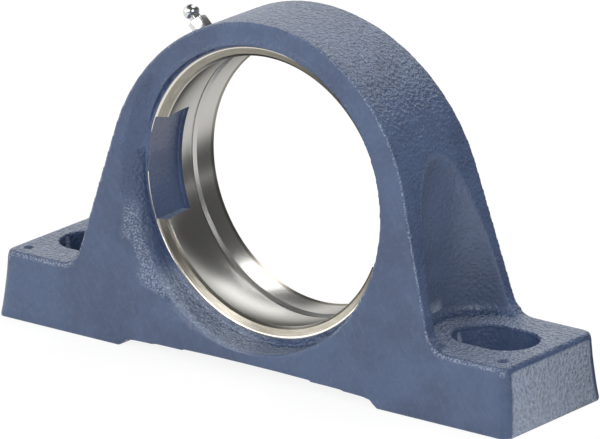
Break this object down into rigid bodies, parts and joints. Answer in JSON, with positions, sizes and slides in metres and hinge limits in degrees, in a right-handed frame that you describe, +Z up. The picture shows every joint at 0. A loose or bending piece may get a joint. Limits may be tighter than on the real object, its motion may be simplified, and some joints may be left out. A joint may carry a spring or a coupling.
{
  "type": "plummer block housing",
  "caption": "Cast pillow-block housing with a spherical bearing seat, filling slots, slotted feet, side pockets and a grease nipple.",
  "frame": {"origin": "middle of the base on the floor, under the centre of the bore", "axes": "+X along the base, +Y to the back, away from the face with the filling slots, +Z up"},
  "size_m": [0.246, 0.062, 0.1365],
  "materials": {
    "painted_casting": "satin blue paint over an as-cast skin, with bare machined bore surfaces",
    "zinc_plated_steel": "bright zinc plate",
    "spring_steel": "plain drawn wire",
    "ball_steel": "polished"
  },
  "bodies": {
    "casting": {"housing": "painted_casting", "nipple_body": "zinc_plated_steel", "nipple_spring": "spring_steel"},
    "ball": {"check_ball": "ball_steel"}
  },
  "joints": [
    {"name": "check_ball_slide", "type": "slide", "parent": "casting", "child": "ball", "axis": [0.6984, 0, -0.7157], "range_m": [0, 0.0008], "stiffness_N_per_m": 500, "springref_m": -0.0005, "deforming": ["nipple_spring"]}
  ]
}
